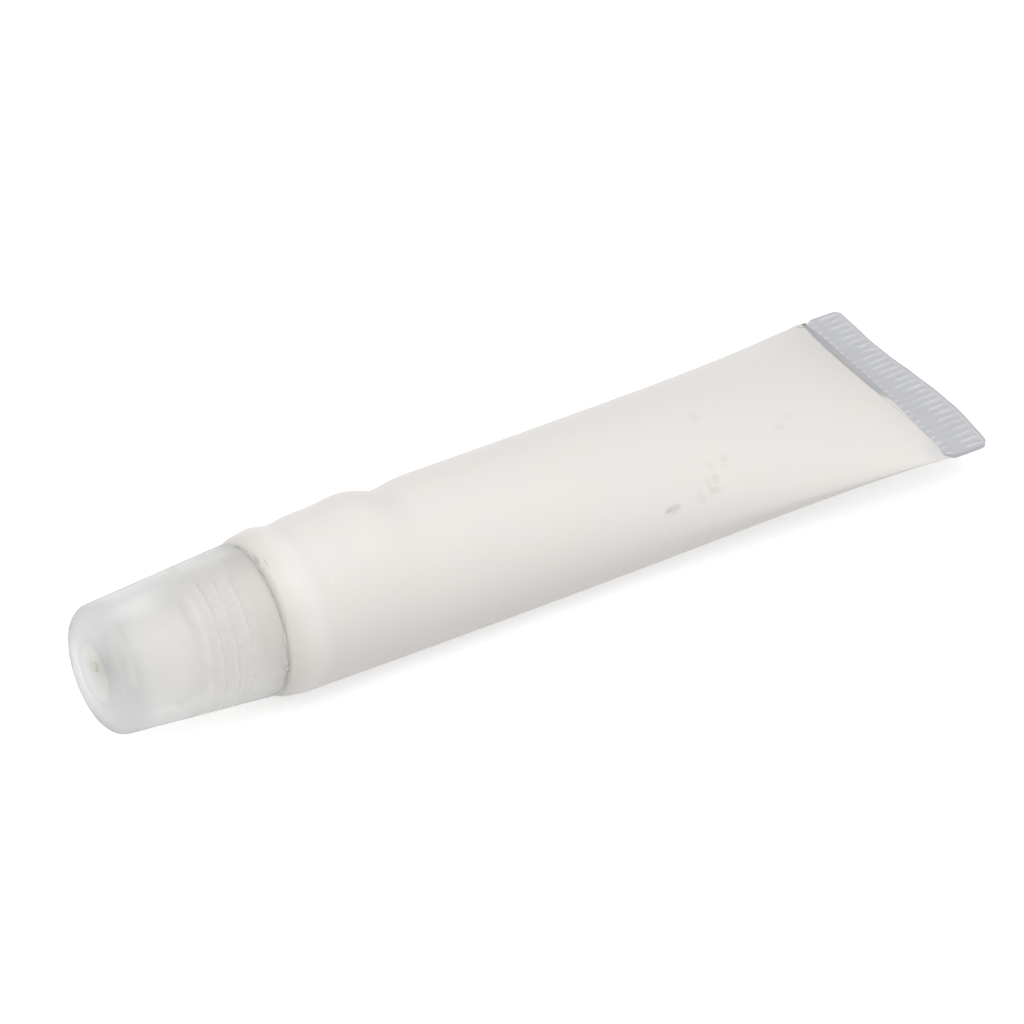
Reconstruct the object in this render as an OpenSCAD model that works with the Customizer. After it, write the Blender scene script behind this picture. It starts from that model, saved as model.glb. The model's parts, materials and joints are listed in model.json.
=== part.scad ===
// Adhesive squeeze tube: a soft translucent sleeve, crimped shut at the tail and full of white adhesive,
// a moulded head with a screw neck and a round nozzle, and a tapered screw cap.
// It lies on its belly on a table at z = 0, with the cap towards -X and slightly raised.

/* [Sleeve] */
// Outer diameter of the sleeve where it is round
tube_d = 19; // [16:0.5:30]
// Thickness of the film
film_t = 0.45; // [0.3:0.05:0.7]
// Length of the sleeve from the shoulder to the tail edge
sleeve_l = 83.5; // [60:0.5:120]
// Length that stays round behind the shoulder
round_l = 11; // [4:0.5:16]
// How full the tube is: a low value keeps it thick for longer towards the tail
fullness = 0.55; // [0.4:0.05:1.4]
// Where along the wedge the oval sections begin to turn into lens shapes, as a fraction
pinch_start = 0.4; // [0.1:0.05:0.8]
// How far they turn by the tail: 0 leaves ovals, 1 makes lenses with creased sides
crease = 0.3; // [0:0.05:1]

/* [Squeezed stretch] */
// How much less high the sleeve is, above and below, behind the round stretch
squeeze_h = 0.3; // [0:0.05:0.8]
// Length over which its height drops
squeeze_l = 8; // [3:0.5:16]
// Depth of the waist behind the head
waist_h = 0.4; // [0:0.05:0.6]
// Distance of the waist from the head
waist_x = 2.4; // [2:0.1:5]
// Length of the waist
waist_l = 1.7; // [1:0.1:3]
// Height of the swelling between waist and dent
swell_h = 0.45; // [0:0.05:0.8]
// Distance of the swelling from the head
swell_x = 11.2; // [7:0.1:12]
// Length of the swelling
swell_l = 2.8; // [1.5:0.1:4]
// Depth of the dent
dent_h = 0.55; // [0:0.05:1.2]
// Distance of the dent from the head
dent_x = 15.6; // [13:0.1:30]
// Length of the dent
dent_l = 2.4; // [1:0.1:8]
// Direction of waist, swelling and dent, seen along the tube
dent_angle = 60; // [20:1:90]
// Half angle that they span round the sleeve
dent_spread = 45; // [15:1:60]

/* [Rest on the table] */
// Angle by which the cap end is raised
lean = 4.2; // [2:0.1:7]
// How far the belly is pressed flat by the table
settle = 0.35; // [0.1:0.05:0.6]
// How far the tail curls up from the straight axis
tail_rise = 2.2; // [0:0.1:3]

/* [Crimp] */
// Length of the crimped strip
crimp_l = 4.8; // [3:0.1:8]
// Thickness of the crimped strip
crimp_t = 0.9; // [0.7:0.05:1.4]
// Number of ribs pressed across the strip
rib_count = 27; // [10:1:40]
// Height of a rib above the strip's own surface
rib_h = 0.14; // [0.05:0.01:0.3]
// Plain border behind the ribs, at the tail edge
border_l = 0.8; // [0.4:0.1:1.5]
// Length in front of the crimp that the adhesive doesn't reach
clear_l = 1.4; // [0.8:0.1:3]

/* [Head] */
// Height of the shoulder above its joint with the sleeve
shoulder_l = 2.9; // [2.2:0.1:5]
// Diameter to which the shoulder draws in at its top
shoulder_top_d = 18.1; // [17:0.1:19]
// Radius of the shoulder's top edge
shoulder_r = 0.8; // [0.4:0.1:1.5]
// Wall of the shoulder
shoulder_t = 1.1; // [0.8:0.1:1.4]
// Diameter of the neck under the thread
neck_d = 13.2; // [11:0.1:13.6]
// Height of the neck above the shoulder
neck_l = 9; // [7:0.5:14]
// Diameter of the passage through the neck
neck_bore_d = 9.8; // [7:0.1:10.5]
// Diameter of the nozzle
nozzle_d = 8.9; // [6:0.1:10]
// Height of the nozzle above the neck
nozzle_l = 7.6; // [4:0.1:10]
// Diameter of the passage in the nozzle
nozzle_bore_d = 6.4; // [4:0.1:7.5]
// Radius of the nozzle's rounded tip edge
nozzle_round = 1.2; // [0.5:0.1:2]
// Diameter of the outlet
outlet_d = 2.2; // [1.6:0.1:3]
// Length of the outlet
outlet_l = 1.6; // [1:0.1:2.5]

/* [Cap] */
// Length of the cap
cap_l = 19.2; // [16:0.1:26]
// Diameter of the closed end
cap_end_d = 14.5; // [13:0.1:16]
// Diameter at the rim
cap_rim_d = 17.5; // [16.8:0.1:18.8]
// Radius of the closed end's edge
cap_round = 1.8; // [0.5:0.1:2.4]
// Thickness of the closed end
cap_end_t = 1.3; // [0.8:0.1:2]
// Wall round the nozzle
cap_wall_t = 1.25; // [0.9:0.05:1.6]
// Diameter of the bore round the neck
cap_bore_d = 14; // [13.8:0.1:14.4]
// Depth of the chamfer inside the rim
cap_mouth_l = 2; // [1:0.1:3]
// Wall at the rim
cap_rim_t = 1; // [0.6:0.1:1.4]
// Gap between the rim and the shoulder
cap_gap = 0.3; // [0.2:0.1:1]
// Clearance round the sealing pin and over the nozzle
seal_gap = 0.3; // [0.2:0.05:0.5]
// Length of the sealing pin inside the outlet
pin_l = 0.9; // [0.5:0.1:1.4]

/* [Hidden] */
// Fineness of turned surfaces
$fn = 96;
// Points round each section of the sleeve, and stations along it
ring_n = 44;
front_step = 1.2;
rear_step = 3.2;

tube_r = tube_d / 2;
crimp_x = sleeve_l - crimp_l;
// Half height of the film where the crimp begins, and of the hollow's flat end
tail_h = crimp_t / 2 + 0.05;
hollow_end = crimp_x - clear_l / 3;
fill_end = crimp_x - clear_l;
// Stations are closer together along the round and squeezed stretches
front_l = dent_x + dent_l;
front_x = [for (x = [0 : front_step : front_l]) x];
rear_count = round((fill_end - front_l) / rear_step);
rear_x = [for (i = [1 : rear_count]) front_l + (fill_end - front_l) * i / rear_count];
fill_x = concat(front_x, rear_x);

// Heights along the axis, from the joint of head and sleeve towards the cap
neck_top = shoulder_l + neck_l;
cavity_h = shoulder_l - shoulder_t;
cap_rim_h = shoulder_l + cap_gap;
cap_top = cap_rim_h + cap_l;
nozzle_top = min(neck_top + nozzle_l, cap_top - cap_end_t - seal_gap);
outlet_base = nozzle_top - outlet_l;
funnel_base = outlet_base - (nozzle_bore_d - outlet_d) / 2;
pin_end = nozzle_top - pin_l;
bore_top = neck_top - shoulder_t;

function limit(t) = max(0, min(1, t));
function smooth(t) = let (c = limit(t)) c * c * (3 - 2 * c);
function bell(t) = exp(-t * t);

// Loft of the sleeve

// Part of the way along the wedge: 0 at the end of the round stretch, 1 at the crimp
function wedge(x) = limit((x - round_l) / (crimp_x - round_l));
// Half height of the sleeve
function half_h(x) =
    let (drop = squeeze_h * smooth((x - round_l) / squeeze_l) * (1 - wedge(x)))
        tail_h + (tube_r - tail_h) * pow(cos(90 * wedge(x)), fullness) - drop;
// 0 for an oval section, 1 for a lens with creased sides
function pinch(x) = crease * smooth((wedge(x) - pinch_start) / (1 - pinch_start));
// Height of the tail's gentle curl
function curl(x) = tail_rise * pow(x / sleeve_l, 2);

// Height of a point of the section at an angle, as a share of the half height
function lift(angle, k) = sign(sin(angle)) * pow(abs(sin(angle)), 1 + k);
function section(a, b, k) = [
    for (i = [0 : ring_n - 1])
        let (angle = 360 * i / ring_n)
            [a * cos(angle), b * lift(angle, k)]
];
function girth(points, i = 0, length = 0) =
    i == len(points) ? length
    : girth(points, i + 1, length + norm(points[(i + 1) % len(points)] - points[i]));
round_girth = girth(section(tube_r, tube_r, 0));
// Film doesn't stretch, so each section is as wide as keeps its girth that of the round sleeve
function half_width(b, k, low = 0.5 * tube_r, high = 1.7 * tube_r, steps = 16) =
    let (middle = (low + high) / 2)
        steps == 0 ? middle
        : girth(section(middle, b, k)) < round_girth ? half_width(b, k, middle, high, steps - 1)
        : half_width(b, k, low, middle, steps - 1);

// The table in the tube's own frame: it rises towards the tail and presses the belly flat
belly_drop = max([for (x = fill_x) half_h(x) - curl(x) + x * tan(lean)]) - settle;
function table(x) = x * tan(lean) - belly_drop;

// How far the film is drawn in at a point, or pushed out where this is below 0
function relief(x, angle) =
    let (
        waist = waist_h * bell((x - waist_x) / waist_l),
        swell = swell_h * bell((x - swell_x) / swell_l),
        dent = dent_h * bell((x - dent_x) / dent_l),
        turn = (angle - dent_angle + 180) % 360 - 180
    )
        (waist - swell + dent) * bell(turn / dent_spread);
// One ring of points round the sleeve, set in from the outer skin by inset
function ring(x, inset) =
    let (k = pinch(x), a = half_width(half_h(x), k) - inset, b = half_h(x) - inset)
        [for (i = [0 : ring_n - 1])
            let (
                angle = 360 * i / ring_n,
                d = relief(x, angle),
                z = curl(x) + (b - d) * lift(angle, k)
            )
                [x, (a - d) * cos(angle), max(z, table(x) + inset)]];
function circle_ring(x, r) = [
    for (i = [0 : ring_n - 1]) [x, r * cos(360 * i / ring_n), r * sin(360 * i / ring_n)]
];

// Skin through a list of rings, closed with a flat face at both ends. Each panel is split along the same
// diagonal whichever way the rings run, so that the film and its fill share one surface.
module loft(rings) {
    last = len(rings) - 1;
    points = [for (r = rings) each r];
    sides = [
        for (j = [0 : last - 1], i = [0 : ring_n - 1])
            let (
                a = j * ring_n + i,
                b = j * ring_n + (i + 1) % ring_n,
                c = a + ring_n,
                d = b + ring_n,
                rearward = rings[j + 1][0][0] > rings[j][0][0]
            )
                each rearward ? [[a, d, b], [a, c, d]] : [[a, c, b], [b, c, d]]
    ];
    start_face = [for (i = [0 : ring_n - 1]) i];
    end_face = [for (i = [ring_n - 1 : -1 : 0]) last * ring_n + i];
    polyhedron(points, concat([start_face], sides, [end_face]));
}

module crimp_ribs() {
    half_w = half_width(tail_h, crease);
    step = half_w / rib_count;
    wave = [for (i = [0 : 2 * rib_count]) [i * step - half_w, (i % 2 - 0.5) * rib_h]];
    top = [for (p = wave) p + [0, crimp_t / 2]];
    bottom = [for (i = [len(wave) - 1 : -1 : 0]) wave[i] - [0, crimp_t / 2]];
    translate([crimp_x, 0, curl(crimp_x)])
        rotate([90, 0, 90])
            linear_extrude(crimp_l - border_l)
                polygon(concat(top, bottom));
}

module crimp_border() {
    half_w = half_width(tail_h, crease);
    translate([sleeve_l, 0, curl(crimp_x) - crimp_t / 2])
        linear_extrude(crimp_t) {
            translate([-border_l, border_l - half_w])
                square([border_l, 2 * (half_w - border_l)]);
            for (side = [-1, 1])
                intersection() {
                    translate([-border_l, side * (half_w - border_l)])
                        circle(border_l);
                    translate([-border_l, -half_w])
                        square([border_l, 2 * half_w]);
                }
        }
}

// The rings run up the inside of the hollow, over the front edge and back along the outside
module tube_sleeve() {
    inner = [for (x = fill_x) ring(x, film_t)];
    outer = [for (x = concat(fill_x, [hollow_end, crimp_x])) ring(x, 0)];
    back = [for (i = [len(inner) - 1 : -1 : 0]) inner[i]];
    loft(concat([ring(hollow_end, film_t)], back, outer));
    crimp_ribs();
    crimp_border();
}

module fill() {
    passage = [
        circle_ring(-pin_end + seal_gap, outlet_d / 2),
        circle_ring(-outlet_base, outlet_d / 2),
        circle_ring(-funnel_base, nozzle_bore_d / 2),
        circle_ring(-bore_top, nozzle_bore_d / 2),
        circle_ring(-bore_top, neck_bore_d / 2),
        circle_ring(-cavity_h, neck_bore_d / 2),
        circle_ring(0, tube_r - shoulder_t)
    ];
    loft(concat(passage, [for (x = fill_x) ring(x, film_t)]));
}

// Turned profiles: the first coordinate is the radius, the second the height towards the cap

module turned() {
    rotate([0, -90, 0])
        rotate_extrude()
            children();
}

// A post with a rounded top edge
module post(r, top, edge_r) {
    square([r, top - edge_r]);
    square([r - edge_r, top]);
    translate([r - edge_r, top - edge_r])
        circle(edge_r);
}

// Where a straight line from point p touches a circle, on the side away from the axis
function tangent_point(centre, r, p) =
    let (d = p - centre, angle = atan2(d[1], d[0]) + acos(r / norm(d)))
        centre + r * [cos(angle), sin(angle)];

// A body of a given height that draws in from point p to a top edge of radius edge_r. Its side ends a hair
// inside the edge's circle, so that the two cross.
module drawn_in(p, top_r, top, edge_r) {
    corner = [top_r - edge_r, top - edge_r];
    side_end = tangent_point(corner, 0.998 * edge_r, p);
    polygon([[0, p[1]], p, side_end, corner, [corner[0], top], [0, top]]);
    translate(corner)
        circle(edge_r);
}

module head_profile() {
    difference() {
        union() {
            drawn_in([tube_r, 0], shoulder_top_d / 2, shoulder_l, shoulder_r);
            square([neck_d / 2, neck_top]);
            post(nozzle_d / 2, nozzle_top, nozzle_round);
        }
        polygon([[0, 0], [tube_r - shoulder_t, 0], [neck_bore_d / 2, cavity_h], [0, cavity_h]]);
        square([neck_bore_d / 2, bore_top]);
        polygon([
            [0, 0], [nozzle_bore_d / 2, 0], [nozzle_bore_d / 2, funnel_base],
            [outlet_d / 2, outlet_base], [0, outlet_base]
        ]);
        square([outlet_d / 2, cap_top]);
    }
}

module cap_profile() {
    inside_top = cap_top - cap_end_t;
    difference() {
        drawn_in([cap_rim_d / 2, cap_rim_h], cap_end_d / 2, cap_top, cap_round);
        polygon([
            [0, cap_rim_h],
            [cap_rim_d / 2 - cap_rim_t, cap_rim_h],
            [cap_bore_d / 2, cap_rim_h + cap_mouth_l],
            [cap_bore_d / 2, neck_top + seal_gap],
            [cap_end_d / 2 - cap_wall_t, inside_top],
            [0, inside_top]
        ]);
    }
    translate([0, pin_end])
        square([outlet_d / 2 - seal_gap, cap_top - pin_end - cap_end_t / 2]);
}

// Sets the tube down on the table, with its box centred over the origin
front_end = (cap_top - cap_round) * cos(lean) + (cap_end_d / 2 - cap_round) * sin(lean) + cap_round;
tail_end = sleeve_l * cos(lean) + (curl(crimp_x) + crimp_t / 2) * sin(lean);

module lie_down() {
    translate([(front_end - tail_end) / 2, 0, belly_drop * cos(lean)])
        rotate([0, lean, 0])
            children();
}

module sleeve() {
    color("whitesmoke", 0.7)
        lie_down()
            tube_sleeve();
}

module head() {
    color("gainsboro")
        lie_down()
            turned()
                head_profile();
}

module cap() {
    color("lightgrey", 0.6)
        lie_down()
            turned()
                cap_profile();
}

module adhesive() {
    color("white")
        lie_down()
            fill();
}

sleeve();
head();
cap();
adhesive();
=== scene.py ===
"""Dresses the adhesive squeeze tube: the film sleeve with its crimp, the moulded head, the cap and the fill.

Shapes are worked out in millimetres in the tube's own frame: x = 0 is the joint of head and sleeve, +X runs
to the tail and Z is up. Heights of turned parts are measured the other way, from the joint towards the cap.
"""

import json
import logging
import math
from collections.abc import Callable, Iterable
from dataclasses import dataclass, field
from enum import Enum

import bmesh
import bpy
from mathutils import Matrix, Vector


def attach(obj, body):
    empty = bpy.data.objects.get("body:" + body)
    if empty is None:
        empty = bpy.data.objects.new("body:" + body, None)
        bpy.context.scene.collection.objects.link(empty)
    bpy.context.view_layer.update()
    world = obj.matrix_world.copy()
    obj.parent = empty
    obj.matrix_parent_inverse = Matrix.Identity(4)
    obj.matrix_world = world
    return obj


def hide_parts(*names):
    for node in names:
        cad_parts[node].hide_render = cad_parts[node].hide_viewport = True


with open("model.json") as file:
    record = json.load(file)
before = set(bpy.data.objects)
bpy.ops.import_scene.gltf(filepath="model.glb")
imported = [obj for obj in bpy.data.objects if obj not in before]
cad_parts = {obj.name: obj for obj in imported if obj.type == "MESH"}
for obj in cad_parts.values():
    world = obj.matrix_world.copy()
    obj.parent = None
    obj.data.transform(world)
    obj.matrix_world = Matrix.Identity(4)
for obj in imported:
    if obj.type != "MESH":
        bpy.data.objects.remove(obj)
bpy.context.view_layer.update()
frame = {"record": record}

log = logging.getLogger("tube")

MM = 0.001
FULL_TURN = 2 * math.pi
Profile = list[tuple[float, float]]


class Slot(Enum):
    """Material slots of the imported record."""

    FILM = "film"
    MOULDED = "moulded"
    FROSTED = "frosted"
    ADHESIVE = "adhesive"


class Body(Enum):
    """Bodies that the pieces ride on."""

    TUBE = "tube"
    CAP = "screw_cap"


# Small maths


def limit(value: float) -> float:
    """Returns the value held between 0 and 1."""
    return max(0.0, min(1.0, value))


def smooth(value: float) -> float:
    """Returns an S-shaped rise from 0 at 0 to 1 at 1."""
    held = limit(value)
    return held * held * (3 - 2 * held)


def bell(value: float) -> float:
    """Returns a bell curve of height 1 at 0."""
    return math.exp(-value * value)


def spread(start: float, end: float, count: int) -> list[float]:
    """Spaces numbers evenly.

    Args:
        start: First number.
        end: Last number.
        count: How many steps lie between them.

    Returns:
        The count + 1 numbers, both ends included.
    """
    return [start + (end - start) * i / count for i in range(count + 1)]


# Sizes of the tube, in millimetres and degrees


@dataclass(frozen=True)
class SleeveForm:
    """Form of the film sleeve: round at the head, lens-shaped and flat at the tail, resting on its belly."""

    tube_r: float = 9.5
    film_t: float = 0.45
    length: float = 83.5
    round_l: float = 11.0
    fullness: float = 0.55
    pinch_start: float = 0.4
    crease: float = 0.3
    squeeze_h: float = 0.3
    squeeze_l: float = 8.0
    waist_h: float = 0.4
    waist_x: float = 2.4
    waist_l: float = 1.7
    swell_h: float = 0.45
    swell_x: float = 11.2
    swell_l: float = 2.8
    dent_h: float = 0.55
    dent_x: float = 15.6
    dent_l: float = 2.4
    dent_angle: float = 60.0
    dent_spread: float = 45.0
    lean: float = 4.2
    settle: float = 0.35
    tail_rise: float = 2.2
    crimp_l: float = 4.8
    crimp_t: float = 0.9
    clear_l: float = 1.4
    strip_x: float = 83.2
    strip_bow: float = 1.1
    strip_y: float = -8.5
    strip_l: float = 11.0
    fold_x: float = 76.2
    fold_y: float = 3.0
    fold_bow: float = 0.0135
    ring_n: int = 144

    @property
    def crimp_x(self) -> float:
        """Where the crimp begins."""
        return self.length - self.crimp_l

    @property
    def tail_h(self) -> float:
        """Half height of the film where the crimp begins."""
        return self.crimp_t / 2 + 0.05

    @property
    def hollow_end(self) -> float:
        """Where the inner walls meet."""
        return self.crimp_x - self.clear_l / 3

    @property
    def fill_end(self) -> float:
        """Where the adhesive ends at most."""
        return self.crimp_x - self.clear_l

    def wedge(self, x: float) -> float:
        """Share of the way along the wedge: 0 at the end of the round stretch, 1 at the crimp."""
        return limit((x - self.round_l) / (self.crimp_x - self.round_l))

    def half_h(self, x: float) -> float:
        """Half height of the sleeve."""
        wedge = self.wedge(x)
        arch = max(math.cos(math.radians(90 * wedge)), 0.0)
        drop = self.squeeze_h * smooth((x - self.round_l) / self.squeeze_l) * (1 - wedge)
        return self.tail_h + (self.tube_r - self.tail_h) * arch**self.fullness - drop

    def pinch(self, x: float) -> float:
        """0 for an oval section, 1 for a lens with creased sides."""
        return self.crease * smooth((self.wedge(x) - self.pinch_start) / (1 - self.pinch_start))

    def curl(self, x: float) -> float:
        """Height of the tail's gentle curl."""
        return self.tail_rise * (x / self.length) ** 2

    def fold(self, y: float) -> float:
        """Where the filled body folds down to the crimp, at a distance across the tail."""
        return min(self.fold_x + self.fold_bow * (y - self.fold_y) ** 2, self.crimp_x - 0.1)

    def sag(self, x: float, y: float) -> float:
        """Gives how far the tail hangs below its straight line, more on its far side."""
        return smooth((x - 74.0) / 4.7) * (0.15 + 0.35 * smooth((y + 8) / 16))

    def relief(self, x: float, angle: float) -> float:
        """Gives how far the film is drawn in at a point.

        Args:
            x: Distance from the joint.
            angle: Direction round the tube, in degrees from -180 to 180.

        Returns:
            The depth; below 0 where the film swells.
        """
        waist = self.waist_h * bell((x - self.waist_x) / self.waist_l)
        swelling = self.swell_h * bell((x - self.swell_x) / self.swell_l)
        dent = self.dent_h * bell((x - self.dent_x) / self.dent_l)
        return (waist - swelling + dent) * bell((angle - self.dent_angle) / self.dent_spread)

    def girth(self, half_w: float, half_h: float, pinch: float) -> float:
        """Measures the way round a section.

        Args:
            half_w: Half width of the section.
            half_h: Half height of the section.
            pinch: How far the section is a lens.

        Returns:
            The length of the closed line through its points.
        """
        points = [
            (half_w * math.cos(angle), half_h * lift(angle, pinch))
            for angle in spread(0, FULL_TURN, self.ring_n)
        ]
        return sum(math.dist(a, b) for a, b in zip(points, points[1:]))

    def half_width(self, half_h: float, pinch: float) -> float:
        """Finds the half width that keeps a section's girth that of the round sleeve.

        Args:
            half_h: Half height of the section.
            pinch: How far the section is a lens.

        Returns:
            The half width.
        """
        target = self.girth(self.tube_r, self.tube_r, 0)
        low, high = 0.5 * self.tube_r, 1.7 * self.tube_r
        for _ in range(16):
            middle = (low + high) / 2
            if self.girth(middle, half_h, pinch) < target:
                low = middle
            else:
                high = middle
        return (low + high) / 2

    @property
    def belly_drop(self) -> float:
        """Depth of the table under the axis at x = 0."""
        slope = math.tan(math.radians(self.lean))
        stations = spread(0, self.fill_end, 160)
        return max(self.half_h(x) - self.curl(x) + x * slope for x in stations) - self.settle


def lift(angle: float, pinch: float) -> float:
    """Gives the height of a section's point as a share of the half height.

    Args:
        angle: Direction of the point, in radians.
        pinch: How far the section is a lens.

    Returns:
        The share, from -1 to 1.
    """
    return math.copysign(abs(math.sin(angle)) ** (1 + pinch), math.sin(angle))


@dataclass(frozen=True)
class HeadForm:
    """Form of the moulded head: shoulder, threaded neck and nozzle."""

    joint_r: float = 9.5
    shoulder_h: float = 2.9
    shoulder_r: float = 9.05
    shoulder_round: float = 0.8
    shoulder_t: float = 1.1
    neck_r: float = 6.6
    neck_top: float = 11.9
    neck_bore_r: float = 4.9
    nozzle_r: float = 4.45
    nozzle_bore_r: float = 3.2
    nozzle_top: float = 19.5
    nozzle_round: float = 1.2
    outlet_r: float = 1.1
    outlet_l: float = 1.6

    @property
    def cavity_h(self) -> float:
        """Height of the hollow under the shoulder."""
        return self.shoulder_h - self.shoulder_t


@dataclass(frozen=True)
class CapForm:
    """Form of the screw cap."""

    rim_h: float = 3.2
    top: float = 22.4
    rim_r: float = 8.75
    end_r: float = 7.25
    end_round: float = 1.8
    end_t: float = 1.3
    wall_t: float = 1.25
    bore_r: float = 7.0
    mouth_l: float = 2.0
    rim_t: float = 1.0
    pin_end: float = 18.6
    seal_gap: float = 0.3
    recess_r: float = 3.7
    recess_h: float = 0.12
    gate_r: float = 0.8
    gate_up: float = 1.1


@dataclass(frozen=True)
class ThreadForm:
    """Helical thread shared by neck and cap: a ridge on one, a groove in the other."""

    start: float = 4.8
    end: float = 11.5
    pitch: float = 1.75
    ridge_h: float = 0.4
    groove_h: float = 0.22
    crest: float = 0.1
    flank: float = 0.5
    fade: float = 0.7

    def wave(self, x: float, y: float, z: float) -> float:
        """Gives the height of the ridge over a point of the neck.

        Args:
            x: Place of the point along the axis.
            y: Place of the point across the axis.
            z: Place of the point above the axis.

        Returns:
            A share from 0 between the turns to 1 on the crest.
        """
        height = -x
        turn = math.atan2(z, y) / FULL_TURN
        off_crest = abs((height / self.pitch - turn) % 1.0 - 0.5) * self.pitch
        ridge = smooth((self.crest + self.flank - off_crest) / self.flank)
        ends = smooth((height - self.start) / self.fade) * smooth((self.end - height) / self.fade)
        return ridge * ends


# Meshes


def tube_placement(cap_top: float, lean: float) -> Matrix:
    """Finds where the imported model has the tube.

    Args:
        cap_top: Height of the cap's closed end above the joint, in millimetres.
        lean: Angle by which the cap end is raised, in degrees.

    Returns:
        The matrix from the tube's own frame in millimetres to the model's frame in metres.
    """
    mount = next(m for m in frame["record"]["mounts"] if m["name"] == "cap_end")
    towards_cap = Vector(mount["axis"]).normalized()
    joint = Vector(mount["pos_m"]) - towards_cap * cap_top * MM
    turn = Matrix.Rotation(math.radians(lean), 4, "Y")
    return Matrix.Translation(joint) @ turn @ Matrix.Scale(MM, 4)


def spun(profile: Profile, steps: int = 144) -> bmesh.types.BMesh:
    """Turns a profile round the tube's axis.

    Args:
        profile: Points as radius and height towards the cap.
        steps: Number of steps in the full turn.

    Returns:
        The closed skin.
    """
    bm = bmesh.new()
    verts = [bm.verts.new((-height, 0, radius)) for radius, height in profile]
    edges = [bm.edges.new(pair) for pair in zip(verts, verts[1:])]
    bmesh.ops.spin(
        bm, geom=verts + edges, cent=(0, 0, 0), axis=(1, 0, 0), angle=FULL_TURN, steps=steps, use_merge=True
    )
    bmesh.ops.remove_doubles(bm, verts=bm.verts, dist=1e-4)
    return bm


def round_rim(bm: bmesh.types.BMesh, radius: float, height: float, edge_r: float, segments: int = 5) -> None:
    """Rounds one circular edge of a turned mesh.

    Args:
        bm: The turned mesh.
        radius: Radius of the edge's circle.
        height: Height of the edge towards the cap.
        edge_r: Radius of the rounding.
        segments: Number of faces across the rounding.
    """
    rim = {
        v for v in bm.verts
        if abs(math.hypot(v.co.y, v.co.z) - radius) < 1e-3 and abs(v.co.x + height) < 1e-3
    }
    edges = [e for e in bm.edges if rim.issuperset(e.verts)]
    bmesh.ops.bevel(
        bm, geom=edges, offset=edge_r, segments=segments, profile=0.5, affect="EDGES", material=-1,
        clamp_overlap=True,
    )


def swell(bm: bmesh.types.BMesh, low: float, high: float, radius: float, rise: Callable) -> None:
    """Moves part of a turned mesh outwards.

    Args:
        bm: The turned mesh.
        low: Lowest height that moves.
        high: Highest height that moves.
        radius: Radius of the skin that moves.
        rise: Gives the distance for a point's x, y and z.
    """
    for vert in bm.verts:
        away = math.hypot(vert.co.y, vert.co.z)
        if abs(away - radius) > 1e-3 or not low <= -vert.co.x <= high:
            continue
        scale = (away + rise(*vert.co)) / away
        vert.co.y *= scale
        vert.co.z *= scale


def rolled_grid(columns: int, rows: int, place: Callable[[float, float], Vector]) -> bmesh.types.BMesh:
    """Lays a fine grid over a surface.

    Args:
        columns: Number of faces in the first direction.
        rows: Number of faces in the second direction.
        place: Gives the point for two shares from 0 to 1.

    Returns:
        The mesh, with edges that meet merged.
    """
    bm = bmesh.new()
    bmesh.ops.create_grid(bm, x_segments=columns, y_segments=rows, size=0.5)
    for vert in bm.verts:
        vert.co = place(limit(vert.co.x + 0.5), limit(vert.co.y + 0.5))
    bmesh.ops.remove_doubles(bm, verts=bm.verts, dist=1e-4)
    return bm


def close_ends(bm: bmesh.types.BMesh) -> None:
    """Closes every open ring of the mesh with a face."""
    bmesh.ops.holes_fill(bm, edges=[e for e in bm.edges if e.is_boundary], sides=0)


@dataclass(frozen=True)
class Piece:
    """What a finished piece is called, rides on and stands for."""

    name: str
    body: Body
    slot: Slot
    node: str | None = None

    def finish(self, bm: bmesh.types.BMesh, place: Matrix, material: bpy.types.Material) -> bpy.types.Object:
        """Args:
            bm: Its mesh in the tube's own frame.
            place: Matrix from that frame to the model's frame.
            material: Its finish.

        Returns:
            The object.
        """
        bmesh.ops.recalc_face_normals(bm, faces=bm.faces)
        bm.transform(place)
        mesh = bpy.data.meshes.new(self.name)
        bm.to_mesh(mesh)
        bm.free()
        mesh.materials.append(material)
        mesh.shade_smooth()
        mesh.set_sharp_from_angle(angle=math.radians(50))
        piece = bpy.data.objects.new(self.name, mesh)
        bpy.context.scene.collection.objects.link(piece)
        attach(piece, self.body.value)
        if self.node:
            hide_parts(self.node)
        log.info("%s: %d faces on %s", self.name, len(mesh.polygons), self.body.value)
        return piece


# Materials


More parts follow.
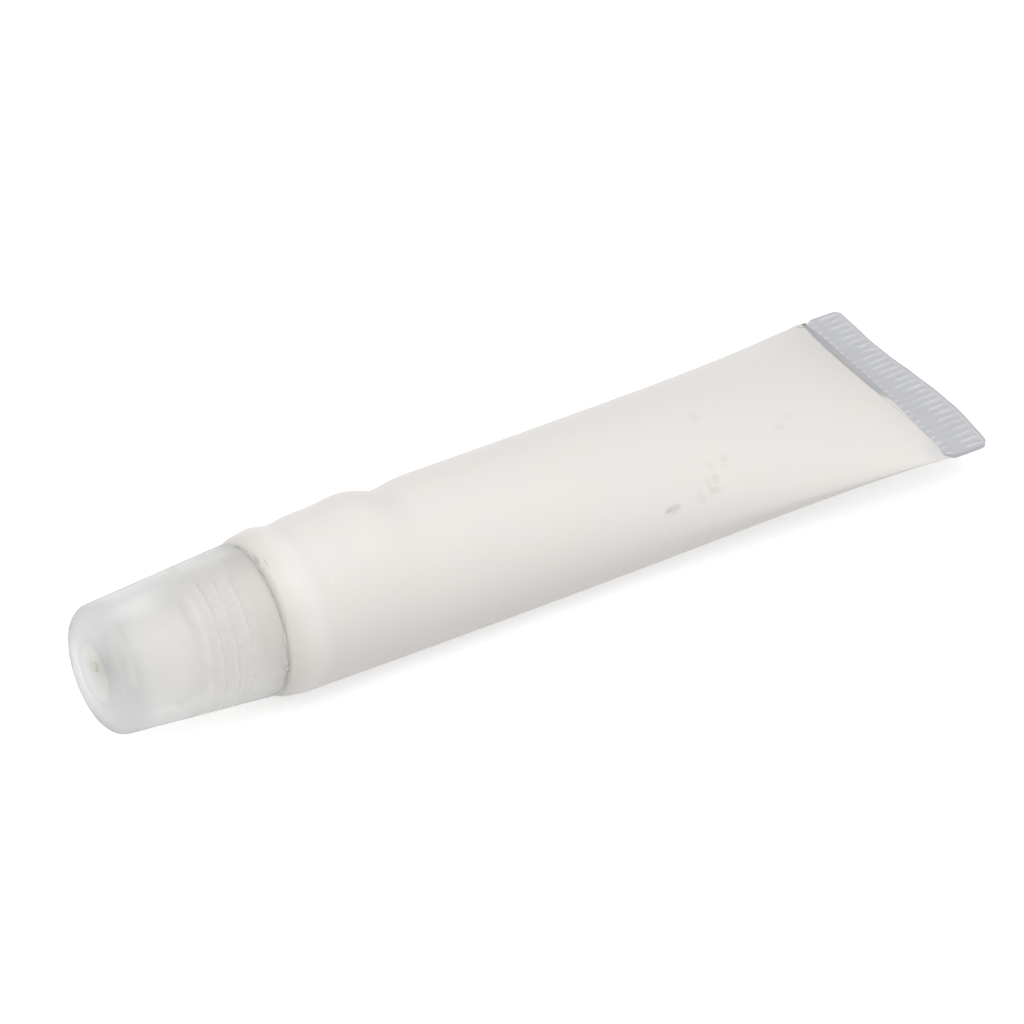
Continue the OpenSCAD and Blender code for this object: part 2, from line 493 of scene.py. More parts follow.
class Wire:
    """A socket in a material's maths; an expression on wires adds its Math nodes."""

    def __init__(self, bench: "Bench", socket: bpy.types.NodeSocket) -> None:
        """Wraps a socket.

        Args:
            bench: The material that the socket belongs to.
            socket: An output socket.
        """
        self.bench = bench
        self.socket = socket

    def maths(self, operation: str, *values: "Wire | float") -> "Wire":
        """Adds a Math node.

        Args:
            operation: The node's operation.
            values: Its inputs in order.

        Returns:
            Its result.
        """
        inputs = dict(enumerate(values))
        return self.bench.node("ShaderNodeMath", {"operation": operation}, inputs)

    def __add__(self, other: "Wire | float") -> "Wire":
        """Returns self + other."""
        return self.maths("ADD", self, other)

    __radd__ = __add__

    def __sub__(self, other: "Wire | float") -> "Wire":
        """Returns self - other."""
        return self.maths("SUBTRACT", self, other)

    def __rsub__(self, other: "Wire | float") -> "Wire":
        """Returns other - self."""
        return self.maths("SUBTRACT", other, self)

    def __mul__(self, other: "Wire | float") -> "Wire":
        """Returns self * other."""
        return self.maths("MULTIPLY", self, other)

    __rmul__ = __mul__

    def __truediv__(self, other: "Wire | float") -> "Wire":
        """Returns self / other."""
        return self.maths("DIVIDE", self, other)

    def __pow__(self, other: "Wire | float") -> "Wire":
        """Returns self to the power of other."""
        return self.maths("POWER", self, other)

    def above(self, low: float, high: float) -> "Wire":
        """Rises smoothly from 0 to 1.

        Args:
            low: Value at which the rise begins.
            high: Value at which it ends; it may lie below low for a fall.

        Returns:
            The rise.
        """
        settings = {"interpolation_type": "SMOOTHSTEP"}
        if low < high:
            return self.bench.node("ShaderNodeMapRange", settings, {0: self, 1: low, 2: high})
        return 1 - self.bench.node("ShaderNodeMapRange", settings, {0: self, 1: high, 2: low})

    def wave(self) -> "Wire":
        """Returns the cosine."""
        return self.maths("COSINE", self)

    def size(self) -> "Wire":
        """Returns the value without its sign."""
        return self.maths("ABSOLUTE", self)

    def bell(self) -> "Wire":
        """Returns a bell curve of height 1 at 0."""
        return self.maths("EXPONENT", -1 * self ** 2)

    def at_most(self, most: float) -> "Wire":
        """Returns the value held to a greatest one."""
        return self.maths("MINIMUM", self, most)

    def direction(self, across: "Wire") -> "Wire":
        """Returns the angle of the point with this height and that distance across, in radians."""
        return self.maths("ARCTAN2", self, across)


Colour = tuple[float, float, float]


class Bench:
    """Builds the nodes of one material."""

    def __init__(self, name: str) -> None:
        """Starts an empty material.

        Args:
            name: Its name.
        """
        self.material = bpy.data.materials.new(name)
        self.material.use_nodes = True
        self.tree = self.material.node_tree
        self.tree.nodes.clear()

    def node(self, kind: str, settings: dict, inputs: dict, output: int | str = 0) -> Wire:
        """Adds a node.

        Args:
            kind: The node's type.
            settings: Its settings by name, set first.
            inputs: Values or wires by input name or number.
            output: Which of its outputs is wanted.

        Returns:
            That output.
        """
        new = self.tree.nodes.new(kind)
        for name, value in settings.items():
            setattr(new, name, value)
        for name, value in inputs.items():
            socket = new.inputs[name]
            if isinstance(value, Wire):
                self.tree.links.new(value.socket, socket)
            elif hasattr(socket.default_value, "__len__") and len(value) == 3 != len(socket.default_value):
                socket.default_value = (*value, 1.0)
            else:
                socket.default_value = value
        return Wire(self, new.outputs[output])

    def tube_point(self, place: Matrix) -> tuple[Wire, Wire, Wire, Wire]:
        """Gives the shaded point in the tube's own frame, in millimetres.

        Args:
            place: Matrix from that frame to the model's frame.

        Returns:
            The whole vector, then its x, y and z.
        """
        back = place.inverted()
        here = self.node("ShaderNodeTexCoord", {}, {}, "Object")
        settings = {"vector_type": "POINT"}
        inputs = {
            "Vector": here,
            "Location": tuple(back.to_translation()),
            "Rotation": tuple(back.to_euler()),
            "Scale": tuple(back.to_scale()),
        }
        vector = self.node("ShaderNodeMapping", settings, inputs)
        apart = [self.node("ShaderNodeSeparateXYZ", {}, {0: vector}, axis) for axis in "XYZ"]
        return vector, *apart

    def mottle(self, vector: Wire, scale: float, detail: float = 2.0, stretch: Colour = (1, 1, 1)) -> Wire:
        """Adds soft noise.

        Args:
            vector: Where it is read.
            scale: How many blotches there are to a millimetre.
            detail: How much finer noise is added.
            stretch: Scale along each axis.

        Returns:
            The noise, about 0.5 on average.
        """
        scaled = self.node("ShaderNodeVectorMath", {"operation": "MULTIPLY"}, {0: vector, 1: stretch})
        return self.node("ShaderNodeTexNoise", {}, {"Vector": scaled, "Scale": scale, "Detail": detail})

    def blend(self, share: Wire | float, first: Wire | Colour, second: Wire | Colour) -> Wire:
        """Mixes two colours.

        Args:
            share: 0 for the first, 1 for the second.
            first: The first colour.
            second: The second colour.

        Returns:
            The mixed colour.
        """
        settings = {"data_type": "RGBA"}
        return self.node("ShaderNodeMix", settings, {0: share, 6: first, 7: second}, 2)

    def bump(self, height: Wire, distance: float, strength: float = 1.0) -> Wire:
        """Adds a Bump node.

        Args:
            height: The height, 1 for the distance.
            distance: The height of the relief, in metres.
            strength: Share of the relief.

        Returns:
            The normal.
        """
        return self.node("ShaderNodeBump", {}, {"Height": height, "Distance": distance, "Strength": strength})

    def principled(self, inputs: dict) -> Wire:
        """Adds the Principled shader."""
        return self.node("ShaderNodeBsdfPrincipled", {}, inputs)

    def output(self, surface: Wire) -> bpy.types.Material:
        """Ends the material with a surface."""
        end = self.tree.nodes.new("ShaderNodeOutputMaterial")
        self.tree.links.new(surface.socket, end.inputs["Surface"])
        return self.material


@dataclass(frozen=True)
class Mark:
    """A small mark on the upper side of a piece, seen from above."""

    x: float
    y: float
    length: float
    width: float
    depth: float


@dataclass(frozen=True)
class Marks:
    """Scattered marks, all of one kind."""

    spots: tuple[Mark, ...]
    broken: float = 0.85

    def mask(self, bench: Bench, vector: Wire, x: Wire, y: Wire, z: Wire) -> Wire:
        """Adds the marks.

        Args:
            bench: The material.
            vector: The point in the tube's frame.
            x: Its x.
            y: Its y.
            z: Its z.

        Returns:
            How strong the marks are there.
        """
        total = 0.0
        for spot in self.spots:
            away = ((x - spot.x) / spot.length) ** 2 + ((y - spot.y) / spot.width) ** 2
            total = away.above(1.0, 0.15) * spot.depth + total
        gaps = bench.mottle(vector, 1.9, 2.0).above(0.36, 0.6)
        return total * (1 - self.broken * (1 - gaps)) * z.above(0.0, 1.0)


@dataclass(frozen=True)
class FilmFinish:
    """Soft translucent film over the white fill, clear where it isn't filled, with faint smudges."""

    place: Matrix
    form: SleeveForm
    milky: Colour = (0.82, 0.785, 0.76)
    warm: Colour = (0.82, 0.80, 0.765)
    shaded: Colour = (0.66, 0.655, 0.62)
    clear: Colour = (0.48, 0.48, 0.485)
    bluish: Colour = (0.68, 0.70, 0.73)
    # Painted highlight: light colour for the soft band where the sleeve's rounded front edge catches the
    # light
    edge: Colour = (0.90, 0.885, 0.865)
    smudge: Colour = (0.26, 0.28, 0.25)
    tip_tone: Colour = (0.62, 0.63, 0.64)
    glint: Colour = (0.93, 0.92, 0.91)
    speck: Colour = (0.95, 0.94, 0.93)
    # Painted shade: near-black colour for the crease where the film folds in at the tail's far corner
    hollow: Colour = (0.12, 0.115, 0.11)
    smudges: Marks = Marks((
        Mark(53.0, -1.0, 0.9, 1.2, 0.10),
        Mark(61.5, -5.5, 1.0, 0.8, 0.08),
        Mark(63.5, -4.5, 0.9, 0.8, 0.08),
        Mark(53.0, -7.5, 0.6, 0.8, 0.17),
        Mark(51.0, -7.5, 0.7, 0.6, 0.11),
        Mark(51.0, -9.0, 0.6, 0.6, 0.16),
        Mark(50.0, -9.2, 0.5, 0.8, 0.16),
        Mark(50.5, -9.9, 0.9, 0.4, 0.17),
        Mark(48.5, -10.0, 0.7, 0.6, 0.11),
        Mark(45.0, -10.0, 1.2, 0.35, 0.25),
        Mark(44.2, -10.1, 0.7, 0.35, 0.17),
    ))
    # Painted shade: two dark spots in the fold at the far corner of the tail
    notch_shade: Marks = Marks((Mark(78.3, 14.5, 0.45, 0.6, 0.9), Mark(77.4, 13.8, 0.7, 0.35, 0.4)), 0.4)
    specks: Marks = Marks((Mark(3.5, -6.2, 0.35, 0.3, 0.2), Mark(6.2, -6.8, 0.3, 0.3, 0.15)), 0.3)

    def make(self) -> bpy.types.Material:
        """Builds the material."""
        bench = Bench("film_finish")
        vector, x, y, z = bench.tube_point(self.place)
        cloud = bench.mottle(vector, 0.09, 2.0, (1, 1.6, 1))
        fine = bench.mottle(vector, 1.6, 3.0)
        form = self.form
        bow = (y - form.fold_y) ** 2 * form.fold_bow + form.fold_x
        past = x - bow.at_most(form.crimp_x - 0.1) + 0.25 * (fine - 0.5)
        tail = past.above(-0.15, 0.25)
        sliver = past.above(0.05, 0.2) * past.above(1.3, 1.0) * y.above(-2.5, -4.5) * y.above(-10.5, -9.0)
        tip = y.above(-11.6, -13.2) * x.above(75.6, 77.6)
        # Painted highlight: a soft light band round the sleeve just behind its front edge
        front_highlight = (x - 0.6).size().above(1.6, 0.1)
        colour = bench.blend(cloud.above(0.3, 0.7) * 0.5, self.milky, self.warm)
        colour = bench.blend(front_highlight * 0.4, colour, self.edge)
        shade = past.above(-9.0, 0.0) * y.above(-8.0, 11.0)
        colour = bench.blend(shade * 0.5, colour, self.shaded)
        colour = bench.blend(tail, colour, self.clear)
        colour = bench.blend(past.above(0.35, 1.3) * 0.45, colour, self.bluish)
        colour = bench.blend(tip * 0.4, colour, self.tip_tone)
        colour = bench.blend(sliver, colour, self.glint)
        colour = bench.blend(self.specks.mask(bench, vector, x, y, z), colour, self.speck)
        # Painted shade in the far corner's fold
        colour = bench.blend(self.notch_shade.mask(bench, vector, x, y, z), colour, self.hollow)
        smudged = self.smudges.mask(bench, vector, x, y, z)
        colour = bench.blend(smudged, colour, self.smudge)
        normal = bench.bump(cloud * 0.85 + fine * 0.15, 0.00012)
        return bench.output(bench.principled({
            "Base Color": colour,
            "Roughness": 0.36 + 0.1 * fine,
            "Alpha": 0.93 - 0.13 * tail,
            "Normal": normal,
            "IOR": 1.48,
            "Specular IOR Level": 0.35,
        }))


@dataclass(frozen=True)
class CrimpFinish:
    """Clear bluish film pressed into ribs, with crests painted lighter: partly their own lighter tone, partly
    painted highlight.
    """

    place: Matrix
    form: SleeveForm
    rib_count: int
    valley: Colour = (0.55, 0.555, 0.58)
    crest: Colour = (0.665, 0.67, 0.69)
    rim: Colour = (0.42, 0.425, 0.44)

    def make(self) -> bpy.types.Material:
        """Builds the material."""
        bench = Bench("crimp_finish")
        vector, x, y, _ = bench.tube_point(self.place)
        half_w = self.form.half_width(self.form.tail_h, self.form.crease)
        cloud = bench.mottle(vector, 0.35, 3.0)
        waver = bench.mottle(vector, 0.8, 2.0, (0.6, 1, 1)) - 0.5
        ribs = ((y + 0.5 * waver) * (math.pi * self.rib_count / half_w)).wave() * 0.5 + 0.5
        bulge = ((y - self.form.strip_y) / self.form.strip_l).bell()
        end = self.form.strip_bow * bulge + self.form.strip_x
        along = (x - self.form.crimp_x) / (end - self.form.crimp_x)
        fade = (along + 0.8 * waver).above(0.25, 0.6)
        streak = ribs ** 2 * fade * along.above(0.93, 0.85) * (0.3 + 1.1 * cloud)
        dimple = ribs ** 2 * along.above(-0.05, 0.03) * along.above(0.2, 0.09)
        border = along.above(0.88, 0.91) * along.above(0.965, 0.935)
        light = streak + dimple * 0.8 + border * 0.45
        # The lighter crests, dimples and border are partly their own tone and partly painted highlight
        colour = bench.blend(light.above(0.0, 1.0), self.valley, self.crest)
        colour = bench.blend(along.above(0.95, 1.0) * 0.5, colour, self.rim)
        normal = bench.bump(bench.mottle(vector, 1.1, 3.0), 0.00012)
        return bench.output(bench.principled({
            "Base Color": colour,
            "Roughness": 0.32 + 0.12 * cloud,
            "Alpha": 0.84 + 0.1 * cloud,
            "Normal": normal,
            "IOR": 1.48,
        }))


@dataclass(frozen=True)
class MouldedFinish:
    """Natural translucent polyethylene of the head, with a painted highlight on the edge of its nozzle and
    painted shadow lines where the cap meets the shoulder.
    """

    place: Matrix
    form: HeadForm
    tone: Colour = (0.94, 0.915, 0.875)
    front: Colour = (0.78, 0.755, 0.72)
    glassy: Colour = (0.69, 0.67, 0.635)
    clouded: Colour = (0.91, 0.885, 0.85)
    ridge: Colour = (0.99, 0.985, 0.97)
    # Painted highlight colour for the nozzle's rounded front edge
    nozzle_highlight: Colour = (0.95, 0.945, 0.93)
    # Painted shadow: dark colour and short lines for the gap between the cap's rim and the shoulder
    streak: Colour = (0.45, 0.46, 0.44)
    gap_shadow_lines: Marks = Marks((Mark(-2.75, -0.7, 0.16, 0.9, 0.5), Mark(-2.3, -2.0, 0.14, 0.9, 0.5)), 0.2)

    def make(self) -> bpy.types.Material:
        """Builds the material."""
        bench = Bench("moulded_finish")
        vector, x, y, z = bench.tube_point(self.place)
        cloud = bench.mottle(vector, 0.25, 2.0)
        shoulder = x.above(-self.form.shoulder_h - 0.3, -self.form.shoulder_h + 0.2)
        away = (y ** 2 + z ** 2) ** 0.5
        crest = away.above(self.form.neck_r + 0.15, self.form.neck_r + 0.4) * x.above(-3.6, -4.4)
        # Painted highlight: a lighter ring on the nozzle's rounded front edge
        tip = (x + self.form.nozzle_top - 0.6).size().above(1.0, 0.3)
        colour = bench.blend(cloud, self.tone, self.clouded)
        colour = bench.blend(crest, colour, self.ridge)
        colour = bench.blend(shoulder, colour, bench.blend(x.above(-2.8, 0.0), self.glassy, self.front))
        colour = bench.blend(tip * 0.8, colour, self.nozzle_highlight)
        # Painted shadow lines at the gap under the cap's rim
        colour = bench.blend(self.gap_shadow_lines.mask(bench, vector, x, y, z), colour, self.streak)
        normal = bench.bump(bench.mottle(vector, 0.9, 3.0), 0.0001)
        return bench.output(bench.principled({
            "Base Color": colour,
            "Roughness": 0.34 + 0.1 * cloud,
            "Normal": normal,
            "IOR": 1.48,
        }))


@dataclass(frozen=True)
class FrostedFinish:
    """Frosted translucent polypropylene of the cap, with the thread showing through as light rings."""

    place: Matrix
    form: CapForm
    pitch: float
    tone: Colour = (0.93, 0.932, 0.93)
    # dim and bright: painted shade for the closed end, partly also its thicker wall, and painted light over
    # the filled neck
    dim: Colour = (0.81, 0.814, 0.818)
    bright: Colour = (0.91, 0.907, 0.898)
    clouded: Colour = (0.92, 0.922, 0.918)
    ring: Colour = (1.0, 1.0, 0.995)
    glint: Colour = (0.99, 0.985, 0.965)
    dish: Colour = (0.90, 0.895, 0.865)
    gate: Colour = (0.97, 0.945, 0.85)

    def make(self) -> bpy.types.Material:
        """Builds the material."""
        bench = Bench("frosted_finish")
        vector, x, y, z = bench.tube_point(self.place)
        cloud = bench.mottle(vector, 0.2, 3.0)
        fine = bench.mottle(vector, 3.0, 3.0)
        away = (y ** 2 + z ** 2) ** 0.5
        gate = (y ** 2 + (z - self.form.gate_up) ** 2) ** 0.5
        end = x.above(-self.form.top + 0.9, -self.form.top + 0.5)
        disc = end * away.above(self.form.recess_r + 0.1, self.form.recess_r - 1.2)
        colour = bench.blend(cloud, self.tone, self.clouded)
        # Painted shade towards the closed end, partly also its thicker wall, and painted light over the neck,
        # where the fill behind sends light back
        colour = bench.blend(x.above(-18.0, -21.0), colour, self.dim)
        colour = bench.blend(x.above(-13.5, -10.5), colour, self.bright)
        turn = x / self.pitch + z.direction(y) / FULL_TURN
        faint = bench.mottle(vector, 0.5, 2.0, (0.4, 1, 1)).above(0.35, 0.6)
        threaded = x.above(-13.2, -12.0) * x.above(-5.2, -7.0)
        rings = (turn * FULL_TURN).wave().above(-0.4, -0.98) * faint * threaded
        colour = bench.blend(rings, colour, self.ring)
        crescent = (x + 21.0).size().above(0.6, 0.1) * y.above(-0.8, -2.8) * z.above(1.5, 3.5)
        colour = bench.blend(crescent * 0.8, colour, self.glint)
        colour = bench.blend(disc, colour, self.dish)
        gated = end * gate.above(self.form.gate_r + 0.4, self.form.gate_r)
        colour = bench.blend(gated, colour, self.gate)
        return bench.output(bench.principled({
            "Base Color": colour,
            "Roughness": 0.44 + 0.08 * fine,
            "Normal": bench.bump(fine, 0.00002),
            "IOR": 1.24,
            "Transmission Weight": 0.86,
        }))


@dataclass(frozen=True)
class AdhesiveFinish:
    """Smooth warm white paste."""

    place: Matrix
    tone: Colour = (0.87, 0.85, 0.82)
    clouded: Colour = (0.84, 0.825, 0.80)

    def make(self) -> bpy.types.Material:
        """Builds the material."""
        bench = Bench("adhesive_finish")
        vector, *_ = bench.tube_point(self.place)
        cloud = bench.mottle(vector, 0.12, 3.0, (0.6, 1, 1))
        colour = bench.blend(cloud, self.tone, self.clouded)
        return bench.output(bench.principled({
            "Base Color": colour,
            "Roughness": 0.4 + 0.15 * cloud,
            "Normal": bench.bump(cloud, 0.0002),
            "Subsurface Weight": 0.4,
            "Subsurface Radius": (1.0, 0.95, 0.9),
            "Subsurface Scale": 0.002,
        }))


# The tube's parts


@dataclass
class FilmSleeve:
    """The extruded sleeve of soft film, from its front edge to its crimped tail."""

    form: SleeveForm
    rib_count: int = 27
    rib_h: float = 0.12
    strip_t: float = 0.52
    corner_r: float = 0.9
    flare: float = 0.35
    widths: dict[float, float] = field(default_factory=dict)
    drop: float = field(init=False)

    def __post_init__(self) -> None:
        """Works out the depth of the table once."""
        self.drop = self.form.belly_drop

    def point(self, x: float, share: float, inset: float) -> Vector:
        """Gives a point of the film.

        Args:
            x: Distance from the joint.
            share: Share of the way round, from 0 to 1.
            inset: Depth under the outer skin.

        Returns:
            The point in the tube's own frame.
        """
        form = self.form
        key = round(x, 4)
        pinch = form.pinch(x)
        if key not in self.widths:
            self.widths[key] = form.half_width(form.half_h(x), pinch)
        angle = FULL_TURN * share
        degrees = 360 * share if share <= 0.5 else 360 * share - 360
        depth = form.relief(x, degrees) + inset
        across = (self.widths[key] - depth) * math.cos(angle)
        across += self.flare * bell((x - form.crimp_x + 1.4) / 1.1) * smooth(across / 4 - 2.6)
        table = x * math.tan(math.radians(form.lean)) - self.drop + inset
        z = form.curl(x) + (form.half_h(x) - depth) * lift(angle, pinch)
        return Vector((x, across, max(z - form.sag(x, across), table)))

    def skin(self) -> bmesh.types.BMesh:
        """Builds the sleeve's wall as one skin, inside and outside."""
        form = self.form
        inner = [form.hollow_end] + spread(form.fill_end, 24, 26) + spread(23.4, 0, 39)
        outer = spread(0, 24, 60) + spread(24.5, form.crimp_x, 84)
        path = [(x, form.film_t) for x in inner] + [(x, 0.0) for x in outer]

        def place(u: float, v: float) -> Vector:
            """Gives the film's point at a share of the way round and along."""
            x, inset = path[round(v * (len(path) - 1))]
            return self.point(x, u % 1.0, inset)

        bm = rolled_grid(form.ring_n, len(path) - 1, place)
        close_ends(bm)
        return bm

    def strip_end(self, y: float, half_w: float) -> float:
        """Finds the outer edge of the crimped strip.

        Args:
            y: Distance across the strip.
            half_w: Half width of the strip.

        Returns:
            The edge's distance from the joint.
        """
        form = self.form
        bulge = form.strip_bow * bell((y - form.strip_y) / form.strip_l)
        bowed = form.strip_x + bulge + 0.02 * math.sin(1.3 * y)
        corner = max(0.0, abs(y) - half_w + self.corner_r)
        return bowed - self.corner_r + math.sqrt(max(self.corner_r**2 - corner**2, 0.0))

    def crimp(self) -> bmesh.types.BMesh:
        """Builds the crimped strip with its ribs, dimples and plain border."""
        form = self.form
        half_w = form.half_width(form.tail_h, form.crease)
        start = form.crimp_x - 0.35

        def place(u: float, v: float) -> Vector:
            """Gives the strip's point at a share of its width and length."""
            y = (2 * u - 1) * half_w
            end = self.strip_end(y, half_w)
            y *= 0.965 + 0.035 * smooth(v / 0.3)
            x = start + v * (end - start)
            along = (x - form.crimp_x) / (end - form.crimp_x)
            wave = 0.5 + 0.5 * math.cos(math.pi * self.rib_count * y / half_w)
            streak = smooth((along - 0.2) / 0.4) * smooth((0.9 - along) / 0.07)
            dimple = bell((along - 0.06) / 0.06)
            line = bell((along - 0.93) / 0.025) * 0.6
            rise = self.rib_h * (wave**2 * (streak + dimple) + line)
            edge = smooth((half_w - abs(y)) / 0.8)
            sway = 0.04 * math.sin(y * 0.55 + 0.6) * limit(along)
            arch = 0.25 * bell((y + 4.0) / 7.5) * (0.2 + limit(along))
            z = form.curl(form.crimp_x) - form.sag(x, y) + self.strip_t / 2
            return Vector((x, y, z + sway + arch + rise * edge))

        bm = rolled_grid(324, 36, place)
        bmesh.ops.recalc_face_normals(bm, faces=bm.faces)
        bmesh.ops.solidify(bm, geom=bm.faces[:], thickness=self.strip_t)
        return bm

    def build(self, place: Matrix) -> None:
        """Builds and dresses the sleeve and its crimp."""
        film = FilmFinish(place, self.form).make()
        Piece("film_sleeve", Body.TUBE, Slot.FILM, "sleeve").finish(self.skin(), place, film)
        ribbed = CrimpFinish(place, self.form, self.rib_count).make()
        Piece("film_crimp", Body.TUBE, Slot.FILM).finish(self.crimp(), place, ribbed)


@dataclass
class Fill:
    """The adhesive that fills the sleeve, the shoulder, the neck and the nozzle."""

    sleeve: FilmSleeve
    head: HeadForm
    gap: float = 0.03

    def build(self, place: Matrix) -> None:
        """Builds and dresses the fill."""
        form, head, gap = self.sleeve.form, self.head, self.gap
        funnel = head.nozzle_top - head.outlet_l
        funnel_base = funnel - (head.nozzle_bore_r - head.outlet_r)
        shell_top = head.neck_top - head.shoulder_t
        rings = [
            (0.0, funnel + 0.4),
            (head.outlet_r - gap, funnel + 0.4),
            (head.outlet_r - gap, funnel),
            (head.nozzle_bore_r - gap, funnel_base),
            (head.nozzle_bore_r - gap, shell_top - gap),
            (head.neck_bore_r - gap, shell_top - gap),
            (head.neck_bore_r - gap, head.cavity_h),
            (head.joint_r - head.shoulder_t - gap, gap),
        ]
        stations = spread(0.15, 24, 30) + spread(25, form.fill_end, 60)
        last = len(rings) + len(stations)

        def place_point(u: float, v: float) -> Vector:
            """Gives the fill's point at a share of the way round and along."""
            index = round(v * last)
            angle = FULL_TURN * (u % 1.0)
            if index < len(rings):
                radius, height = rings[index]
                return Vector((-height, radius * math.cos(angle), radius * math.sin(angle)))
            x = stations[min(index - len(rings), len(stations) - 1)]
            point = self.sleeve.point(x, u % 1.0, form.film_t + gap)
            if index == last:
                point.y *= 0.98
                point.z = form.curl(x) + (point.z - form.curl(x)) * 0.5
            point.x -= 0.9 * max(0.0, point.x - form.fold(point.y) + 0.2)
            return point

        bm = rolled_grid(form.ring_n, last, place_point)
        close_ends(bm)
        paste = AdhesiveFinish(place).make()
        Piece("adhesive_fill", Body.TUBE, Slot.ADHESIVE, "adhesive").finish(bm, place, paste)


@dataclass
class Head:
    """The moulded head: shoulder, threaded neck and nozzle."""

    form: HeadForm
    thread: ThreadForm

    def build(self, place: Matrix) -> None:
        """Builds and dresses the head."""
        form = self.form
        shell_top = form.neck_top - form.shoulder_t
        funnel = form.nozzle_top - form.outlet_l
        funnel_base = funnel - (form.nozzle_bore_r - form.outlet_r)
        foot = form.shoulder_h + 0.6
        profile = [
            (form.joint_r, 0.0),
            (form.shoulder_r, form.shoulder_h),
            (form.neck_r, form.shoulder_h),
            *[(form.neck_r, height) for height in spread(foot, form.neck_top - 0.25, 120)],
            (form.neck_r, form.neck_top),
            (form.nozzle_r, form.neck_top),
            (form.nozzle_r, form.nozzle_top),
            (form.outlet_r, form.nozzle_top),
            (form.outlet_r, funnel),
            (form.nozzle_bore_r, funnel_base),
            (form.nozzle_bore_r, shell_top),
            (form.neck_bore_r, shell_top),
            (form.neck_bore_r, form.cavity_h),
            (form.joint_r - form.shoulder_t, 0.0),
            (form.joint_r, 0.0),
        ]
        bm = spun(profile)
        round_rim(bm, form.shoulder_r, form.shoulder_h, form.shoulder_round, 6)
        round_rim(bm, form.neck_r, form.neck_top, 0.2, 3)
        round_rim(bm, form.neck_r, form.shoulder_h, 0.4, 3)
        round_rim(bm, form.nozzle_r, form.neck_top, 0.35, 3)
        round_rim(bm, form.nozzle_r, form.nozzle_top, form.nozzle_round, 8)
        round_rim(bm, form.outlet_r, form.nozzle_top, 0.2, 3)
        thread = self.thread
        swell(
            bm, foot, form.neck_top - 0.25, form.neck_r,
            lambda x, y, z: thread.ridge_h * thread.wave(x, y, z),
        )
        finish = MouldedFinish(place, form).make()
        Piece("head_moulding", Body.TUBE, Slot.MOULDED, "head").finish(bm, place, finish)


@dataclass
class Cap:
    """The tapered screw cap with its inner thread, its sealing pin and the mark of its gate."""

    form: CapForm
    thread: ThreadForm
    neck_top: float
    outlet_r: float
    nibs: tuple[float, ...] = (73.0, 183.0)
    nib_r: float = 0.3
    nib_in: float = 0.15
    nib_up: float = 0.25
    gate_flat: float = 0.35

    def build(self, place: Matrix) -> None:
        """Builds and dresses the cap."""
        form = self.form
        inside_top = form.top - form.end_t
        bore_top = self.neck_top + form.seal_gap
        bore = [(form.bore_r, height) for height in spread(bore_top - 0.3, form.rim_h + form.mouth_l, 120)]
        pin_r = self.outlet_r - form.seal_gap
        profile = [
            (0.0, form.top - form.recess_h),
            (form.recess_r, form.top - form.recess_h),
            (form.recess_r, form.top),
            (form.end_r, form.top),
            (form.rim_r, form.rim_h),
            (form.rim_r - form.rim_t, form.rim_h),
            *reversed(bore),
            (form.bore_r, bore_top),
            (form.end_r - form.wall_t, inside_top),
            (pin_r, inside_top),
            (pin_r, form.pin_end),
            (0.0, form.pin_end),
        ]
        bm = spun(profile)
        round_rim(bm, form.end_r, form.top, form.end_round, 12)
        round_rim(bm, form.recess_r, form.top, 0.12, 3)
        round_rim(bm, form.rim_r, form.rim_h, 0.25, 3)
        round_rim(bm, form.rim_r - form.rim_t, form.rim_h, 0.2, 2)
        round_rim(bm, form.end_r - form.wall_t, inside_top, 0.8, 5)
        round_rim(bm, pin_r, form.pin_end, 0.2, 3)
        thread = self.thread
        swell(
            bm, form.rim_h + form.mouth_l, bore_top, form.bore_r,
            lambda x, y, z: thread.groove_h * thread.wave(x, y, z),
        )
        for direction in self.nibs:
            angle = math.radians(direction)
            away = form.rim_r - self.nib_in
            spot = Vector((-form.rim_h - self.nib_up, away * math.cos(angle), away * math.sin(angle)))
            bmesh.ops.create_icosphere(
                bm, subdivisions=3, radius=self.nib_r, matrix=Matrix.Translation(spot)
            )
        middle = Matrix.Translation((form.recess_h - form.top, 0, form.gate_up))
        flat = Matrix.Diagonal((self.gate_flat, 1, 1, 1))
        bmesh.ops.create_icosphere(bm, subdivisions=3, radius=form.gate_r, matrix=middle @ flat)
        finish = FrostedFinish(place, form, self.thread.pitch).make()
        Piece("cap_moulding", Body.CAP, Slot.FROSTED, "cap").finish(bm, place, finish)


# Studio


@dataclass(frozen=True)
class Camera:
    """The photograph's viewpoint: where it looks from, how long its lens is and what it looks at."""

    azimuth: float = -29.36
    elevation: float = 40.22
    roll: float = -2.507
    distance: float = 0.700
    lens: float = 220.0
    aim: Vector = field(default_factory=lambda: Vector((-0.00257, 0, 0)))
    aim_right: float = 0.00169
    aim_up: float = 0.00879

    def build(self) -> None:
        """Makes the camera and shoots through it."""
        az, el, roll = (math.radians(a) for a in (self.azimuth, self.elevation, self.roll))
        back = Vector((math.sin(az) * math.cos(el), -math.cos(az) * math.cos(el), math.sin(el)))
        level = Vector((math.cos(az), math.sin(az), 0))
        upright = back.cross(level)
        right = level * math.cos(roll) + upright * math.sin(roll)
        up = upright * math.cos(roll) - level * math.sin(roll)
        eye = self.aim + right * self.aim_right + up * self.aim_up + back * self.distance
        data = bpy.data.cameras.new("photo_camera")
        data.sensor_width = 36.0
        data.lens = self.lens
        data.clip_start = 0.01
        camera = bpy.data.objects.new("photo_camera", data)
        camera.matrix_world = Matrix.Translation(eye) @ Matrix((right, up, back)).transposed().to_4x4()
        bpy.context.scene.collection.objects.link(camera)
        bpy.context.scene.camera = camera


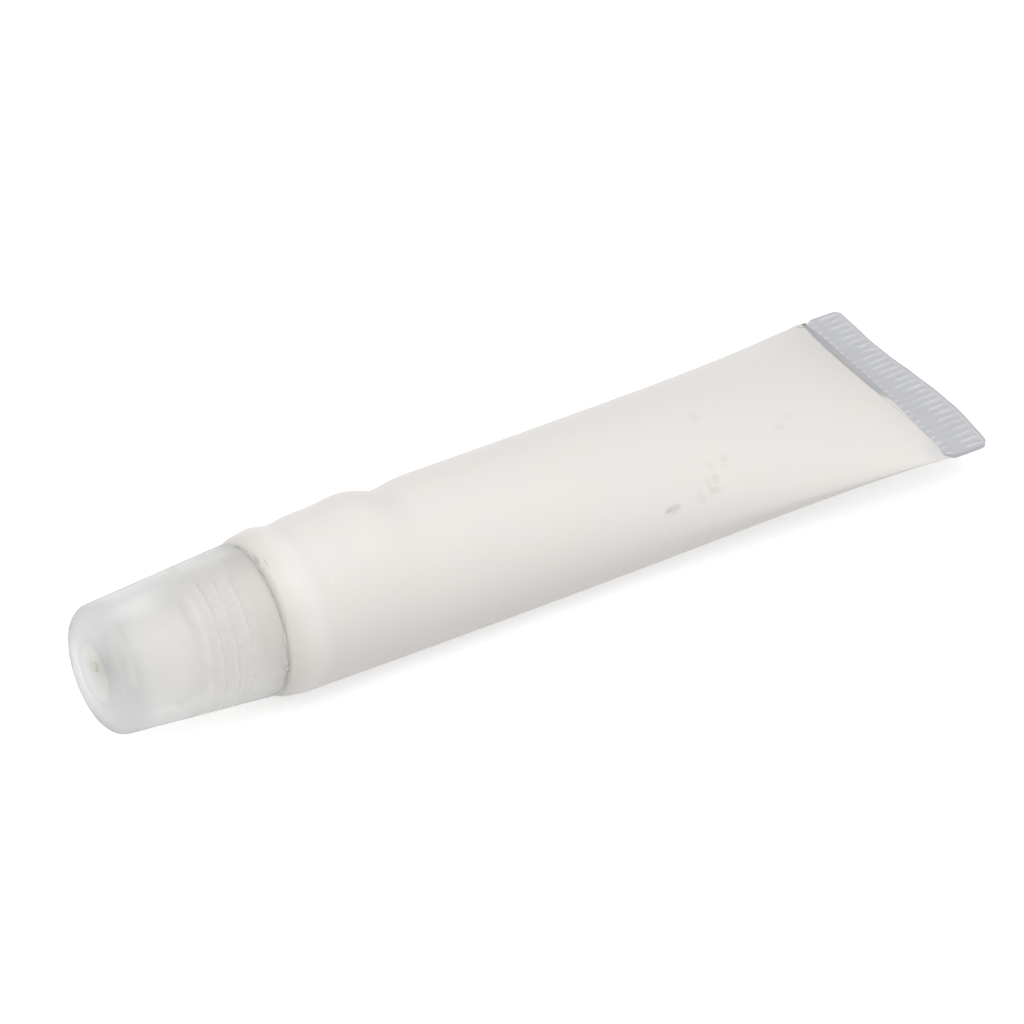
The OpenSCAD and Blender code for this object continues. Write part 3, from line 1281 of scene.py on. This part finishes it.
@dataclass(frozen=True)
class Studio:
    """Pale floor that shows white, even white surroundings and one large soft lamp."""

    floor_size: float = 3.0
    paper: Colour = (0.68, 0.68, 0.68)
    glow: float = 0.6
    sky: float = 0.8
    lamp_power: float = 9.2
    lamp_size: float = 1.2
    lamp_place: Vector = field(default_factory=lambda: Vector((-0.28, -0.34, 1.13)))

    def camera_share(self, bench: Bench) -> Wire:
        """Gives 1 for rays that show the background, and 0 for those that light the tube."""
        share = 0.0
        for name in ("Is Camera Ray", "Is Glossy Ray", "Is Transmission Ray"):
            share = bench.node("ShaderNodeLightPath", {}, {}, name) + share
        return share.above(0.0, 1.0)

    def floor(self) -> None:
        """Lays the floor."""
        bm = bmesh.new()
        bmesh.ops.create_grid(bm, x_segments=1, y_segments=1, size=self.floor_size)
        mesh = bpy.data.meshes.new("floor")
        bm.to_mesh(mesh)
        bm.free()
        bench = Bench("floor_finish")
        strength = self.glow * self.camera_share(bench)
        glow = bench.node("ShaderNodeEmission", {}, {"Color": (1, 1, 1), "Strength": strength})
        paper = bench.node("ShaderNodeBsdfDiffuse", {}, {"Color": self.paper})
        mesh.materials.append(bench.output(bench.node("ShaderNodeAddShader", {}, {0: paper, 1: glow})))
        floor = bpy.data.objects.new("floor", mesh)
        bpy.context.scene.collection.objects.link(floor)

    def surroundings(self) -> None:
        """Makes the even white surroundings."""
        world = bpy.data.worlds.new("surroundings")
        bpy.context.scene.world = world
        world.use_nodes = True
        tree = world.node_tree
        tree.nodes.clear()
        path = tree.nodes.new("ShaderNodeLightPath")
        shade = tree.nodes.new("ShaderNodeMapRange")
        sky = tree.nodes.new("ShaderNodeBackground")
        end = tree.nodes.new("ShaderNodeOutputWorld")
        shade.inputs["To Min"].default_value = self.sky
        shade.inputs["To Max"].default_value = 1.0
        tree.links.new(path.outputs["Is Camera Ray"], shade.inputs["Value"])
        tree.links.new(shade.outputs["Result"], sky.inputs["Strength"])
        tree.links.new(sky.outputs["Background"], end.inputs["Surface"])

    def lamp(self) -> None:
        """Hangs the soft lamp."""
        data = bpy.data.lights.new("soft_lamp", "AREA")
        data.energy = self.lamp_power
        data.size = self.lamp_size
        lamp = bpy.data.objects.new("soft_lamp", data)
        lamp.location = self.lamp_place
        lamp.rotation_euler = (-self.lamp_place).to_track_quat("-Z", "Y").to_euler()
        bpy.context.scene.collection.objects.link(lamp)

    def build(self) -> None:
        """Sets up floor, surroundings and lamp."""
        self.floor()
        self.surroundings()
        self.lamp()
        bpy.context.scene.view_settings.view_transform = "Standard"


def main() -> None:
    """Builds the tube's parts in order, then the studio."""
    logging.basicConfig(level=logging.INFO, format="%(name)s: %(message)s")
    sleeve_form, head_form, cap_form, thread = SleeveForm(), HeadForm(), CapForm(), ThreadForm()
    place = tube_placement(cap_form.top, sleeve_form.lean)
    Camera().build()
    sleeve = FilmSleeve(sleeve_form)
    sleeve.build(place)
    Fill(sleeve, head_form).build(place)
    Head(head_form, thread).build(place)
    Cap(cap_form, thread, head_form.neck_top, head_form.outlet_r).build(place)
    Studio().build()
    bpy.context.view_layer.update()


if __name__ == "__main__":
    main()
